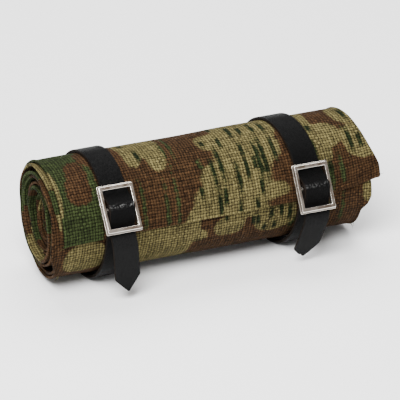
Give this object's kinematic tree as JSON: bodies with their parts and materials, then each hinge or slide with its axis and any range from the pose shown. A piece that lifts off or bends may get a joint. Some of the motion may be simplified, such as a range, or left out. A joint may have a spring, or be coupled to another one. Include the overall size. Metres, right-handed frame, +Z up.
{
  "type": "rolled canvas training bumper",
  "caption": "Rolled camouflage canvas held by buckled leather straps with pointed free tails, used as a soft retrieving bumper for dog training.",
  "frame": {"origin": "middle of the object's footprint, on the surface that it rests on", "axes": "+X along the roll to its right end, -Y to the front where the buckles are, +Z up"},
  "size_m": [0.25, 0.111, 0.0963],
  "materials": {
    "camouflage_canvas": "coarse plain-weave canvas printed in brown, green and khaki",
    "strap_leather": "black grained leather with raw brown edges",
    "waxed_thread": "black waxed thread",
    "buckle_nickel": "worn nickel plate with warm tarnish"
  },
  "bodies": {
    "canvas": {"canvas_roll": "camouflage_canvas"},
    "left_strap": {"left_strap_band": "strap_leather", "left_strap_stitches": "waxed_thread"},
    "left_buckle": {"left_buckle_frame": "buckle_nickel", "left_buckle_bar": "buckle_nickel"},
    "left_tail": {"left_strap_tail": "strap_leather"},
    "right_strap": {"right_strap_band": "strap_leather", "right_strap_stitches": "waxed_thread"},
    "right_buckle": {"right_buckle_frame": "buckle_nickel", "right_buckle_bar": "buckle_nickel"},
    "right_tail": {"right_strap_tail": "strap_leather"}
  },
  "joints": [
    {"name": "left_strap_slide", "type": "slide", "parent": "canvas", "child": "left_strap", "axis": [1, 0, 0], "range_m": [-0.028, 0.06]},
    {"name": "left_buckle_rock", "type": "hinge", "parent": "left_strap", "child": "left_buckle", "pos_m": [-0.08104, -0.04033, 0.0706], "axis": [-1, 0, 0], "range_deg": [-2.5, 2.5], "stiffness_Nm_per_rad": 0.05},
    {"name": "left_tail_lift", "type": "hinge", "parent": "left_strap", "child": "left_tail", "pos_m": [-0.08176, -0.04816, 0.05117], "axis": [-1, 0, 0], "range_deg": [-10, 80], "stiffness_Nm_per_rad": 0.01},
    {"name": "right_strap_slide", "type": "slide", "parent": "canvas", "child": "right_strap", "axis": [1, 0, 0], "range_m": [-0.06, 0.03]},
    {"name": "right_buckle_rock", "type": "hinge", "parent": "right_strap", "child": "right_buckle", "pos_m": [0.07477, -0.04528, 0.06145], "axis": [-1, 0, 0], "range_deg": [-2.5, 2.5], "stiffness_Nm_per_rad": 0.05},
    {"name": "right_tail_lift", "type": "hinge", "parent": "right_strap", "child": "right_tail", "pos_m": [0.07467, -0.05146, 0.04136], "axis": [-1, 0, 0], "range_deg": [-8, 75], "stiffness_Nm_per_rad": 0.01}
  ]
}
